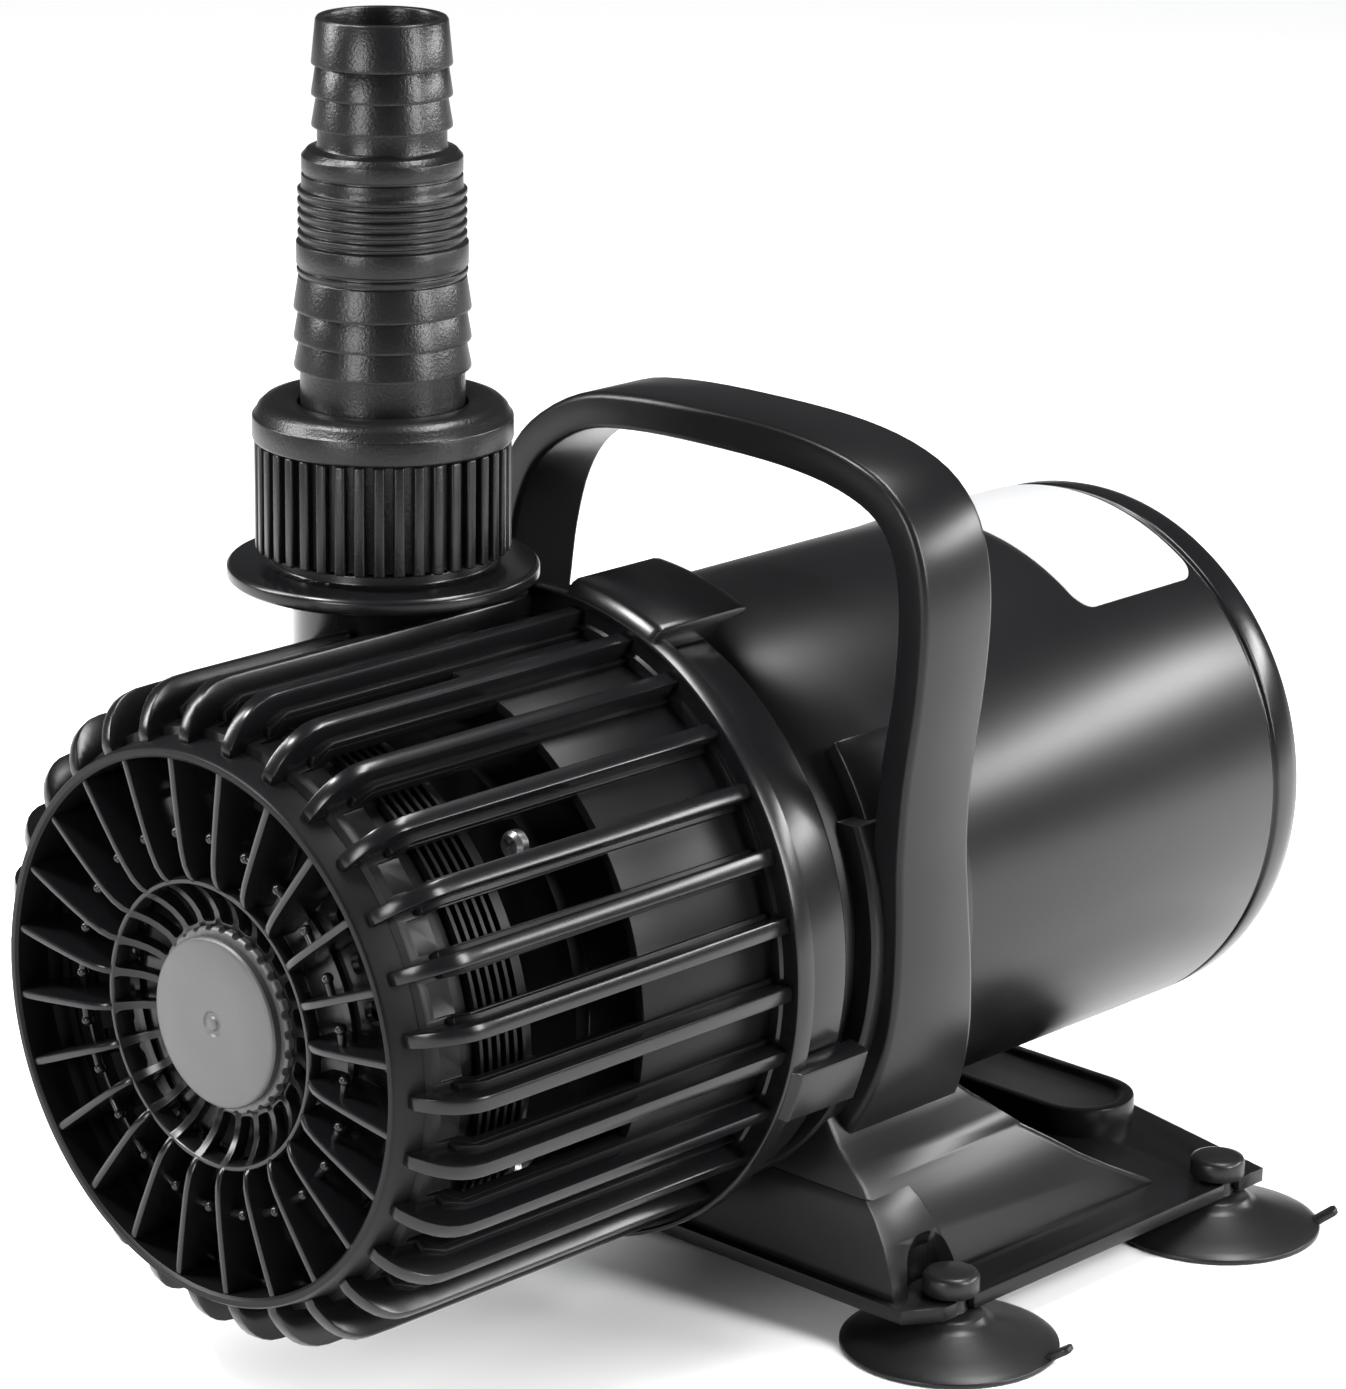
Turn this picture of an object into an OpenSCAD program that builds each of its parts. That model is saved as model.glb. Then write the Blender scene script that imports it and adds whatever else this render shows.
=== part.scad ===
// Fountain submersible pump with a push-on strainer cage, a wet rotor motor,
// a carrying stand on suction cups and a stepped hose adapter.
// Lengths in millimetres, +Z up. The pump axis runs along +Y, with the inlet at -Y.

/* [Motor] */
// outside diameter of the motor housing
motor_d = 118; // [100:1:142]
// length of motor housing that shows between the pump collar and the rear cap
motor_l = 143.5; // [118:0.5:174]
// wall of the motor housing
shell_wall = 2.6; // [2:0.1:4]
// length of the rear cap
cap_l = 11.8; // [9:0.1:15]

/* [Strainer cage] */
// length from the front rim to the mouth ring
cage_l = 95; // [80:0.5:115]
// number of side ribs
rib_count = 30; // [24:6:36]
// number of front blades
blade_count = 24; // [18:2:30]
// thickness of a side rib
rib_t = 2.8; // [2:0.1:3.4]
// thickness of a front blade
blade_t = 1.4; // [1:0.1:2]
// radius of the centre disc
disc_r = 16.8; // [12:0.1:20]

/* [Pump chamber] */
// radius of the impeller
impeller_r = 35; // [28:0.5:38]
// number of impeller vanes
vane_count = 6; // [4:1:8]
// radius of the ceramic shaft
shaft_r = 4; // [3:0.1:5]
// running clearance of the rotor on the shaft
shaft_gap = 0.05; // [0.02:0.01:0.1]

/* [Outlet] */
// sideways distance from the pump axis to the outlet axis
outlet_x = 28; // [23:0.5:30]
// outside radius of the outlet pipe
pipe_r = 18; // [15:0.5:20]
// outside radius of the outlet flange
flange_r = 31; // [26:0.5:34]
// outside radius of the union nut
nut_r = 25.7; // [24:0.1:28]
// height of the union nut
nut_h = 32; // [30:0.5:38]
// number of grip ribs on the union nut
grip_count = 40; // [30:2:48]
// length of hose adapter above the union nut
adapter_l = 72.8; // [61:0.1:88]
// radius of the top barbs
barb_r = 13.7; // [12.7:0.1:15]
// radius of the lower barbs
barb_low_r = 17.4; // [16.6:0.1:17.6]
// radius of the adapter bore at the mouth
mouth_r = 11; // [9:0.1:11.6]

/* [Stand] */
// half width of the base plate
base_hw = 80; // [72:0.5:96]
// length of the base plate along its sides
base_l = 112; // [96:0.5:134]
// thickness of the base plate
base_t = 3; // [2.5:0.1:4]
// gap between the motor housing and the base plate
motor_lift = 12; // [10:0.1:14.4]
// height of the handle top above the pump axis
handle_h = 101.5; // [95:0.5:121]
// reach of the handle to the right of the pump axis
handle_right = 72; // [68:0.5:86]
// reach of the handle to the left of the pump axis
handle_left = 50; // [42:0.5:58]
// thickness of the handle strap
strap_t = 7.6; // [6:0.1:9]
// width of the handle strap
strap_w = 20.5; // [17:0.1:24]
// height of the base plate above the floor
foot_h = 8; // [7.4:0.1:9.6]
// radius of a suction cup
cup_r = 22.3; // [18:0.1:26]

/* [Hidden] */
$fn = 96;

motor_r = motor_d / 2;
axis_h = motor_r + motor_lift + base_t + foot_h;
shell_in = motor_r - shell_wall;
// stations along the pump axis, counted from the front rim
collar_y = cage_l + 4.8;
socket_y = cage_l + 9;
collar_end = cage_l + 18.3;
shell_end = collar_end + motor_l;
body_end = shell_end + cap_l;
gland_l = 13;
overall_l = body_end + gland_l;
outlet_y = cage_l - 19.7;
// radii that follow the motor housing
drum_r = motor_r + 1.5;
drum_in = drum_r - 2;
spigot_r = drum_in - 0.4;
rib_r = motor_r + 6.6;
ring_r = motor_r + 8.5;
collar_r = motor_r + 5;
rim_r = motor_r - 4.6;
volute_r = min(impeller_r + 13, spigot_r - 4);
chamber_r = volute_r - 5;
can_r = 0.34 * motor_r;
can_in = can_r - 1.4;
magnet_r = can_in - 1;
stator_r = shell_in - 0.05;
// stations of the pump chamber
back_y = cage_l - 3;
front_y = back_y - 35;
can_end = shell_end - 20;
// heights of the outlet above the pump axis
flange_z = ring_r + 4.5;
nut_z = flange_z + 3.2;
nut_top = nut_z + nut_h;
spigot_z = nut_top - 15;
adapter_top = nut_top + adapter_l;
// places on the base plate
plate_top = -axis_h + foot_h + base_t;
plate_y = collar_end + 5.7;
plate_end = plate_y + base_l;
cup_x = base_hw - 4;
cup_y1 = plate_y + 14;
cup_y2 = plate_end - 11;
saddle_in = motor_r + 0.1;
saddle_r = motor_r + 4.2;
strap_y = plate_y + 5;

// places children in the pump's own frame: y counted from the front rim, z from the pump axis
module pump() {
    translate([0, -overall_l / 2, axis_h]) children();
}

// turns an outline of [radius, y] points about the pump axis
module turned(points) {
    rotate([-90, 0, 0]) rotate_extrude() polygon(points);
}

// a ring about the pump axis
module tube_y(r1, r2, y1, y2) {
    turned([[r1, y1], [r2, y1], [r2, y2], [r1, y2]]);
}

// a rod along the pump axis
module rod_y(r, y1, y2) {
    translate([0, y1, 0]) rotate([-90, 0, 0]) cylinder(r = r, h = y2 - y1);
}

// stands an outline of [radius, y] points up as a flat plate at a given angle about the pump axis
module fin(a, t, points) {
    rotate([0, -a, 0]) translate([0, 0, -t / 2]) linear_extrude(t) polygon(points);
}

// part of a turned outline, from angle a1 to angle a2, counted from +X towards +Z
module sector(a1, a2, points) {
    rotate([0, -a1, 0]) rotate([90, 0, 0]) rotate_extrude(angle = a2 - a1)
        polygon([for (p = points) [p[0], -p[1]]]);
}

// a vertical turned piece on the outlet axis
module on_outlet() {
    translate([-outlet_x, outlet_y, 0]) children();
}

module strainer_cage() {
    color([0.05, 0.05, 0.055]) pump() {
        difference() {
            union() {
                // front rim, front band, slotted drum and mouth ring
                turned([[rim_r - 1.9, 0], [rim_r, 0], [rim_r + 1, 7], [rim_r + 2.6, 7.6], [rim_r + 3.4, 13],
                    [drum_r, 15], [drum_r, cage_l], [ring_r, cage_l], [ring_r, cage_l + 4.5],
                    [drum_in, cage_l + 4.5], [drum_in, 16.5], [rim_r + 1.2, 14.5], [rim_r + 0.4, 9],
                    [rim_r - 1.2, 8]]);
                // side ribs with rounded front ends
                for (k = [0 : rib_count - 1])
                    fin((k + 0.5) * 360 / rib_count, rib_t, [[rim_r - 0.4, 2.5], [rim_r + 3.2, 3.4],
                        [rim_r + 6.4, 5], [rib_r - 3.2, 7], [rib_r - 1.3, 9.4], [rib_r - 0.3, 12],
                        [rib_r, 15], [rib_r, cage_l + 0.5], [drum_in + 1, cage_l + 0.5],
                        [drum_in + 1, 17], [rim_r + 2.3, 13], [rim_r - 0.4, 9]]);
                // rim of the gap around the outlet pipe
                intersection() {
                    tube_y(drum_in + 0.2, rib_r - 0.6, outlet_y - pipe_r - 4, cage_l + 2);
                    on_outlet() {
                        cylinder(r = pipe_r + 4, h = ring_r + 10);
                        translate([-pipe_r - 4, 0, 0]) cube([2 * pipe_r + 8, 40, ring_r + 10]);
                    }
                }
            }
            // long windows between the ribs
            for (k = [0 : rib_count / 2 - 1])
                rotate([0, k * 360 / rib_count, 0])
                    translate([-ring_r, 21, -drum_r * PI / rib_count + rib_t / 2 + 1.1])
                        cube([2 * ring_r, cage_l * 0.4, 2 * (drum_r * PI / rib_count - rib_t / 2 - 1.1)]);
            // gap around the outlet pipe, open towards the rear
            on_outlet() {
                cylinder(r = pipe_r + 2.4, h = ring_r + 12);
                translate([-pipe_r - 2.4, 0, 0]) cube([2 * pipe_r + 4.8, 42, ring_r + 12]);
            }
        }
        // front blades
        for (k = [0 : blade_count - 1])
            fin((k + 0.5) * 360 / blade_count, blade_t, [[28, 4.4], [28.6, 2.6], [30.4, 1.5], [33, 1.1],
                [rim_r - 1.4, 0.8], [rim_r + 0.8, 9.6], [rim_r - 4, 13], [32, 12], [28.4, 9]]);
        // rings that tie the blades
        tube_y(36.6, 37.8, 4.6, 5.8);
        tube_y(44, 45.2, 9.4, 12.2);
        tube_y(26.8, 28.6, 3.6, 7);
        tube_y(22.2, 23.4, 8, 10.4);
        // bars of the basket
        for (k = [0 : blade_count - 1])
            fin((k + 0.5) * 360 / blade_count, blade_t, [[disc_r + 0.4, 7.6], [27.4, 4.2], [27.4, 7.2],
                [disc_r + 0.4, 10.4]]);
        // centre disc with a notched skirt and a gate dimple
        difference() {
            turned([[0, 4.6], [disc_r - 0.5, 4.6], [disc_r, 5.1], [disc_r, 7], [disc_r + 1.5, 7.4],
                [disc_r + 1.5, 10.2], [disc_r - 1.6, 10.2], [disc_r - 1.6, 7], [0, 7]]);
            rod_y(1.6, 4, 5);
            for (k = [0 : rib_count - 1])
                rotate([0, k * 360 / rib_count, 0]) translate([disc_r + 1.9, 0, 0]) rod_y(0.9, 6.8, 11);
        }
        // release tab at the top and two smaller lugs on the sides
        sector(66.5, 86.8, [[drum_r + 1, cage_l + 0.8], [ring_r + 2.3, cage_l + 2],
            [ring_r + 2.8, cage_l + 3], [ring_r + 2.8, collar_end + 8], [ring_r + 0.4, collar_end + 8.4],
            [ring_r, collar_end + 2.2],
            [collar_r + 1.2, collar_end + 2.2], [collar_r + 0.5, collar_end + 0.6],
            [collar_r + 0.5, cage_l + 4.3], [drum_r + 1, cage_l + 4.3]]);
        for (a = [-23.6, 194])
            sector(a, a + 9.6, [[drum_r + 1, cage_l + 0.8], [ring_r + 2, cage_l + 1.4],
                [ring_r + 2, collar_end + 3], [collar_r + 0.5, collar_end + 3],
                [collar_r + 0.5, cage_l + 4.3], [drum_r + 1, cage_l + 4.3]]);
    }
}

module pump_housing() {
    color([0.06, 0.06, 0.065]) pump() difference() {
        union() {
            rod_y(volute_r, front_y, back_y + 2);
            rod_y(spigot_r, back_y - 2, collar_y + 1);
            turned([[0, collar_y], [collar_r - 0.5, collar_y], [collar_r, collar_y + 0.5],
                [collar_r, collar_end - 0.8], [collar_r - 0.8, collar_end], [0, collar_end]]);
            on_outlet() {
                cylinder(r = pipe_r, h = flange_z);
                translate([0, 0, flange_z - 3.6]) cylinder(r = flange_r, h = 3.6);
                translate([0, 0, flange_z - 1]) cylinder(r = 22.4, h = nut_z - flange_z + 0.6);
                translate([0, 0, flange_z - 5]) cylinder(r = 19.4, h = spigot_z - flange_z + 5);
                for (k = [0 : 3])
                    translate([0, 0, nut_z + 2 + k * 3]) cylinder(r1 = 20.3, r2 = 19.5, h = 1.6);
            }
        }
        rod_y(chamber_r, front_y - 1, back_y);
        rod_y(can_r + 1, back_y - 1, back_y + 8);
        rod_y(motor_r - 9, back_y + 4, socket_y + 1);
        rod_y(saddle_in, socket_y, collar_end + 1);
        on_outlet() cylinder(r = pipe_r - 3.6, h = spigot_z + 1);
        for (k = [0 : 3])
            rotate([0, 45 + k * 90, 0])
                translate([chamber_r + 2.5, 0, 0]) rod_y(1.3, front_y - 1, front_y + 10);
    }
}

module chamber_cover() {
    color([0.05, 0.05, 0.055]) pump() difference() {
        union() {
            rod_y(volute_r, front_y - 3.4, front_y);
            tube_y(chamber_r - 5, chamber_r - 2.1, front_y - 1, front_y + 3);
            turned([[19, front_y - 8], [21, front_y - 9], [22.4, front_y - 8], [24, front_y - 3],
                [19, front_y - 3]]);
            rod_y(shaft_r + 6, front_y - 8, front_y + 1);
        }
        difference() {
            rod_y(19, front_y - 10, front_y + 4);
            rod_y(shaft_r + 6, front_y - 8, front_y + 1);
            for (k = [0 : 2])
                rotate([0, 90 + k * 120, 0]) translate([0, front_y - 8, -1.8]) cube([22, 8, 3.6]);
        }
        rod_y(shaft_r + 3.5, front_y - 6, front_y + 2);
        for (k = [0 : 3])
            rotate([0, 45 + k * 90, 0])
                translate([chamber_r + 2.5, 0, 0]) rod_y(1.75, front_y - 4, front_y + 4);
    }
}

module cover_oring() {
    color([0.1, 0.1, 0.1]) pump() translate([0, front_y + 1.15, 0]) rotate([-90, 0, 0])
        rotate_extrude() translate([chamber_r - 1.06, 0]) circle(r = 1, $fn = 32);
}

module cover_screws() {
    color([0.62, 0.63, 0.64]) pump() for (k = [0 : 3])
        rotate([0, 45 + k * 90, 0]) translate([chamber_r + 2.5, 0, 0]) difference() {
            union() {
                turned([[0, front_y - 6], [2.2, front_y - 6], [2.9, front_y - 5], [2.9, front_y - 3.4],
                    [0, front_y - 3.4]]);
                rod_y(1.3, front_y - 4, front_y + 9);
            }
            translate([-0.4, front_y - 7, -1.8]) cube([0.8, 2.2, 3.6]);
            translate([-1.8, front_y - 7, -0.4]) cube([3.6, 2.2, 0.8]);
        }
}

module impeller() {
    color([0.12, 0.12, 0.13]) pump() difference() {
        union() {
            rod_y(8, front_y + 6, can_end - 14);
            tube_y(shaft_r, impeller_r, back_y - 6, back_y - 4);
            for (k = [0 : vane_count - 1])
                rotate([0, k * 360 / vane_count, 0]) translate([0, back_y - 5, 0]) rotate([90, 0, 0])
                    linear_extrude(back_y - front_y - 11) polygon([[6.5, -1], [14, -2.6], [22, -6.6],
                        [impeller_r - 5.5, -13.2], [impeller_r - 4.4, -11.4], [22.6, -4.4], [14, -0.2],
                        [6.5, 1.6]]);
        }
        rod_y(shaft_r + shaft_gap, front_y, can_end);
    }
}

module rotor_magnet() {
    color([0.2, 0.2, 0.21]) pump() tube_y(8.02, magnet_r, collar_y + 8, can_end - 16);
}

module shaft() {
    color([0.93, 0.92, 0.88]) pump() rod_y(shaft_r, front_y - 5, can_end - 3);
}

module front_bush() {
    color([0.08, 0.08, 0.08]) pump() difference() {
        rod_y(shaft_r + 3.48, front_y - 6, front_y + 3);
        rod_y(shaft_r + 0.02, front_y - 5, front_y + 4);
    }
}

module rear_bush() {
    color([0.08, 0.08, 0.08]) pump() difference() {
        rod_y(shaft_r + 3.48, can_end - 12, can_end - 2);
        rod_y(shaft_r + 0.02, can_end - 13, can_end - 3);
    }
}

module rotor_can() {
    color([0.16, 0.16, 0.17]) pump() difference() {
        union() {
            rod_y(motor_r - 9.2, back_y + 4, back_y + 7);
            rod_y(can_r, back_y + 6, can_end);
        }
        rod_y(can_in, back_y + 3, can_end - 12.4);
        rod_y(shaft_r + 3.5, can_end - 13, can_end - 2);
    }
}

// outline of the stator with six coil slots
module slots(grow) {
    for (k = [0 : 5])
        rotate(k * 60 + 30)
            translate([can_r + 4, -6.5 + grow]) square([stator_r - can_r - 13 - grow, 13 - 2 * grow]);
}

module stator_core() {
    color([0.42, 0.42, 0.43]) pump() translate([0, collar_y + 24, 0]) rotate([-90, 0, 0])
        linear_extrude(can_end - collar_y - 52) difference() {
            circle(r = stator_r);
            circle(r = can_r + 0.3);
            slots(0);
        }
}

module stator_coils() {
    color([0.72, 0.38, 0.18]) pump() {
        translate([0, collar_y + 22, 0]) rotate([-90, 0, 0])
            linear_extrude(can_end - collar_y - 48) slots(0.4);
        tube_y(can_r + 4, stator_r - 9.4, collar_y + 14, collar_y + 23.6);
        tube_y(can_r + 4, stator_r - 9.4, can_end - 27.6, can_end - 18);
    }
}

module potting() {
    color([0.14, 0.12, 0.1]) pump() difference() {
        rod_y(shell_in - 0.05, can_end - 17.8, can_end + 4);
        rod_y(can_r + 0.1, can_end - 19, can_end + 0.1);
    }
}

module motor_shell() {
    color([0.04, 0.04, 0.045]) pump() turned([[shell_in, socket_y], [motor_r, socket_y],
        [motor_r, shell_end - 0.4], [motor_r - 0.4, shell_end], [shell_in, shell_end]]);
}

module rear_cap() {
    color([0.05, 0.05, 0.055]) pump() difference() {
        union() {
            turned([[0, shell_end], [motor_r - 0.9, shell_end], [motor_r - 0.9, shell_end + 0.9],
                [motor_r, shell_end + 1.3], [motor_r - 0.6, body_end - 2.6],
                [motor_r - 2.4, body_end - 0.6], [motor_r - 4, body_end], [0, body_end]]);
            turned([[0, can_end + 6], [shell_in - 0.1, can_end + 6], [shell_in - 0.1, shell_end - 8.6],
                [shell_in - 1.9, shell_end - 8.6], [shell_in - 1.9, shell_end - 6.4],
                [shell_in - 0.1, shell_end - 6.4], [shell_in - 0.1, shell_end], [0, shell_end]]);
            translate([0, 0, motor_r * 0.42]) rod_y(11.5, body_end - 1, body_end + 2.4);
        }
        rod_y(shell_in - 6, can_end + 5, body_end - 4);
        translate([0, 0, motor_r * 0.42]) {
            rod_y(8, body_end - 1, body_end + 3);
            rod_y(5, can_end, body_end + 3);
        }
    }
}

module cap_oring() {
    color([0.1, 0.1, 0.1]) pump() translate([0, shell_end - 7.5, 0]) rotate([-90, 0, 0])
        rotate_extrude() translate([shell_in - 0.98, 0]) circle(r = 0.92, $fn = 32);
}

module gland_nut() {
    color([0.05, 0.05, 0.055]) pump() translate([0, 0, motor_r * 0.42]) difference() {
        union() {
            rod_y(7.9, body_end - 0.9, body_end + 3);
            translate([0, body_end + 2.4, 0]) rotate([-90, 0, 0]) cylinder(r = 11, h = 5.6, $fn = 6);
            turned([[0, body_end + 7], [9, body_end + 8], [8.6, body_end + 10.4], [6.6, body_end + gland_l],
                [0, body_end + gland_l]]);
        }
        rod_y(6.1, body_end - 2, body_end + 9);
        rod_y(4.4, body_end, body_end + gland_l + 1);
    }
}

module gland_seal() {
    color([0.1, 0.1, 0.1]) pump() translate([0, 0, motor_r * 0.42])
        tube_y(3.8, 6.08, body_end - 0.9, body_end + 8.9);
}

module rating_label() {
    color([0.9, 0.9, 0.88]) pump() sector(52, 128, [[motor_r + 0.02, shell_end - 41],
        [motor_r + 0.3, shell_end - 41], [motor_r + 0.3, shell_end - 2], [motor_r + 0.02, shell_end - 2]]);
}

// a smooth curve through four points, from the second to the third
function smooth(a, b, c, d, t) = 0.5 * (2 * b + (c - a) * t + (2 * a - 5 * b + 4 * c - d) * t * t
    + (3 * b - a - 3 * c + d) * t * t * t);
function curve(p, n) = [for (i = [1 : len(p) - 3], j = [0 : n - 1])
    smooth(p[i - 1], p[i], p[i + 1], p[i + 2], j / n)];
function side(p, d) = [for (i = [1 : len(p) - 2]) let (v = p[i + 1] - p[i - 1])
    p[i] + d * [-v[1], v[0]] / norm(v)];
function back(p) = [for (i = [len(p) - 1 : -1 : 0]) p[i]];

module handle() {
    s = handle_h / 101.5;
    r = handle_right - strap_t / 2;
    l = handle_left - strap_t / 2;
    q = motor_r / 59;
    path = curve([[60 * q, -30 * q], [61.2 * q, -6 * q], [61.6 * q, 14 * q], [r - 5, 36 * s],
        [r - 1, 58 * s], [r - 0.3, 74 * s], [r - 6, 89 * s], [r - 22, 95.6 * s],
        [(r - l) / 2, 98.4 * s - 0.7], [-l + 28, 96 * s], [-l + 12, 87 * s],
        [-l + 2.4, 72 * s], [-l, 56 * s], [-l - 1.6, 38 * q],
        [-l - 7.6, 20 * q]], 4);
    outer = side(path, -strap_t / 2);
    inner = side(path, strap_t / 2);
    translate([0, strap_y + strap_w, 0]) rotate([90, 0, 0]) linear_extrude(strap_w)
        polygon(concat(outer, back(inner)));
}

module stand() {
    skirt_top = -motor_r * 0.74;
    skirt_x = motor_r * 0.95;
    drop = skirt_top - plate_top;
    seat = saddle_in - 1.5;
    pad_h = motor_lift - 5.6;
    color([0.055, 0.055, 0.06]) pump() difference() {
        union() {
            handle();
            // saddle under the motor, with a lighter band up both sides
            sector(-200, 20, [[seat, plate_y + 1], [saddle_r, plate_y + 1], [saddle_r, plate_y + 32],
                [seat, plate_y + 32]]);
            sector(19, 40, [[seat, plate_y + 8], [saddle_r - 1.2, plate_y + 9],
                [saddle_r - 1.2, plate_y + 26], [seat, plate_y + 27]]);
            sector(138, 162, [[seat, plate_y + 4], [saddle_r - 0.6, plate_y + 4],
                [saddle_r - 0.6, plate_y + 26.5], [seat, plate_y + 26.5]]);
            // thick flanks of the saddle that the handle grows out of
            for (a = [-42, 174])
                sector(a, a + 48, [[seat, plate_y + 4.6], [saddle_r + 3.2, plate_y + 5.6],
                    [saddle_r + 3.2, plate_y + 25], [seat, plate_y + 35]]);
            // flared skirt between the saddle and the base plate
            intersection() {
                translate([0, plate_end, 0]) rotate([90, 0, 0]) linear_extrude(base_l)
                    polygon([for (m = [1, -1], i = (m > 0 ? [0 : 8] : [8 : -1 : 0]))
                        [m * (skirt_x + (base_hw - 11 - skirt_x) * (1 - pow(1 - i / 8, 2.2))),
                            skirt_top - drop * i / 8]]);
                rotate([90, 0, 90]) translate([0, 0, -base_hw]) linear_extrude(2 * base_hw)
                    polygon(concat([[plate_y + 2, plate_top - 1], [plate_y + 2, skirt_top]],
                        [for (i = [0 : 8]) [plate_y + base_l * (0.4 + 0.4 * pow(i / 8, 1.2)),
                            skirt_top - drop * i / 8]],
                        [[plate_y + base_l * 0.8, plate_top - 1]]));
            }
            // base plate with a shallow point at the rear
            translate([0, 0, plate_top - base_t]) linear_extrude(base_t) polygon([[-base_hw + 5, plate_y],
                [base_hw - 5, plate_y], [base_hw, plate_y + 7], [base_hw, plate_end], [14, plate_end + 14],
                [-14, plate_end + 14], [-base_hw, plate_end], [-base_hw, plate_y + 7]]);
            // raised pad with round ends across the rear of the plate
            translate([0, plate_end - 6, plate_top - 1]) {
                for (m = [1, -1]) translate([m * 34, 0, 0]) cylinder(r = 12, h = pad_h + 1);
                translate([-34, -12, 0]) cube([68, 24, pad_h + 1]);
            }
        }
        // seat of the motor
        rod_y(saddle_in, plate_y - 20, plate_end + 20);
        // shallow dish in the raised pad
        translate([0, plate_end - 6, plate_top + pad_h - 1.2]) {
            for (m = [1, -1]) translate([m * 34, 0, 0]) cylinder(r = 9.4, h = 30);
            translate([-34, -9.4, 0]) cube([68, 18.8, 30]);
        }
        // slots for the suction cups, open to the sides
        for (m = [1, -1], y = [cup_y1, cup_y2]) translate([m * cup_x, y, plate_top - base_t - 1]) {
            cylinder(r = 3.5, h = base_t + 2);
            translate([m > 0 ? 0 : -20, -3.35, 0]) cube([20, 6.7, base_t + 2]);
            translate([0, 0, base_t + 1]) {
                cylinder(r = 8.4, h = 60);
                translate([m > 0 ? 0 : -20, -8.4, 0]) cube([20, 16.8, 60]);
            }
        }
        // pockets under the skirt, with ribs between them
        for (x = [-skirt_x + 3 : (2 * skirt_x - 3) / 4 : skirt_x - 6]) difference() {
            translate([x, plate_y + 4, plate_top - base_t - 1])
                cube([(2 * skirt_x - 15) / 4, 24, drop + base_t]);
            rod_y(saddle_r - 0.3, plate_y, plate_y + 40);
        }
    }
}

module cup(x, y, a) {
    b = -axis_h;
    neck = plate_top - base_t - 0.35;
    top = plate_top + 0.35;
    translate([x, y, 0]) {
        rotate_extrude() polygon([[cup_r - 1.2, b], [cup_r, b], [cup_r, b + 0.9], [cup_r * 0.8, b + 3],
            [cup_r * 0.5, b + 5.2], [7, b + 6.6], [6, neck], [3, neck], [3, top], [5.8, top],
            [5.8, top + 3.9], [4.8, top + 4.6], [0, top + 4.6], [0, b + 3.4], [cup_r * 0.46, b + 3],
            [cup_r * 0.76, b + 1.4]]);
        rotate([0, 0, a]) translate([cup_r - 1, -2.4, b]) cube([5, 4.8, 1.3]);
    }
}

module cup_front_right() { color([0.09, 0.09, 0.095]) pump() cup(cup_x, cup_y1, 20); }
module cup_front_left() { color([0.09, 0.09, 0.095]) pump() cup(-cup_x, cup_y1, 160); }
module cup_rear_right() { color([0.09, 0.09, 0.095]) pump() cup(cup_x, cup_y2, 43); }
module cup_rear_left() { color([0.09, 0.09, 0.095]) pump() cup(-cup_x, cup_y2, 137); }

module union_nut() {
    skirt = nut_z + nut_h * 0.62;
    color([0.07, 0.07, 0.075]) pump() on_outlet() difference() {
        union() {
            rotate_extrude() polygon([[0, nut_z], [nut_r - 1.3, nut_z], [nut_r - 1.3, skirt],
                [nut_r - 0.2, skirt], [nut_r, skirt + 0.5], [nut_r, nut_top - 4.6],
                [nut_r - 0.5, nut_top - 3], [nut_r - 1.9, nut_top - 1.3], [nut_r - 4.2, nut_top - 0.4],
                [nut_r - 6.6, nut_top], [0, nut_top]]);
            for (k = [0 : grip_count - 1])
                rotate([0, 0, k * 360 / grip_count])
                    translate([nut_r - 2.4, -1.15, nut_z]) cube([2.1, 2.3, skirt - nut_z + 0.2]);
        }
        translate([0, 0, nut_z - 1]) cylinder(r = 20.7, h = nut_h - 9);
        translate([0, 0, nut_z]) cylinder(r = barb_low_r + 0.4, h = nut_h + 1);
    }
}

module hose_adapter() {
    h = adapter_l / 72.8;
    n = barb_r - 1.15;
    m = barb_low_r - 1.2;
    color([0.07, 0.07, 0.075]) pump() on_outlet() translate([0, 0, nut_top]) difference() {
        rotate_extrude() polygon(concat([[0, -13], [20.2, -13], [20.2, -10.35], [m, -10.35], [m, 4.1 * h],
            [barb_low_r, 4.1 * h], [m + 0.2, 9.7 * h], [barb_low_r, 9.8 * h], [m + 0.2, 15.6 * h],
            [barb_low_r, 15.8 * h], [m - 0.2, 22.4 * h], [15.4, 22.6 * h], [15.4, 23.3 * h],
            [15.9, 23.4 * h], [15.9, 28.2 * h]],
            [for (k = [0 : 4], p = [[16.6, 28.9], [16.6, 29.6], [15.6, 30.2], [15.6, 30.6]])
                [p[0], (p[1] + 2.2 * k) * h]],
            [[16, 40 * h], [16, 41.4 * h], [15.3, 41.5 * h], [15.3, 42.2 * h], [15.6, 42.3 * h],
            [15.6, 45.6 * h], [n + 0.3, 46.4 * h], [n, 47 * h], [n, 51.4 * h], [barb_r, 51.5 * h],
            [n + 0.2, 57.4 * h], [barb_r, 57.5 * h], [n + 0.2, 63.4 * h], [barb_r, 63.5 * h],
            [n - 0.1, adapter_l - 0.4],
            [n - 0.5, adapter_l], [0, adapter_l]]));
        translate([0, 0, 20]) cylinder(r = mouth_r, h = adapter_l);
        translate([0, 0, -14]) cylinder(r = 13.4, h = 34.5);
    }
}

module adapter_gasket() {
    color([0.12, 0.12, 0.12]) pump() on_outlet() translate([0, 0, spigot_z]) difference() {
        cylinder(r = 19.2, h = 1.65);
        translate([0, 0, -1]) cylinder(r = 14.6, h = 5);
    }
}

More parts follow.
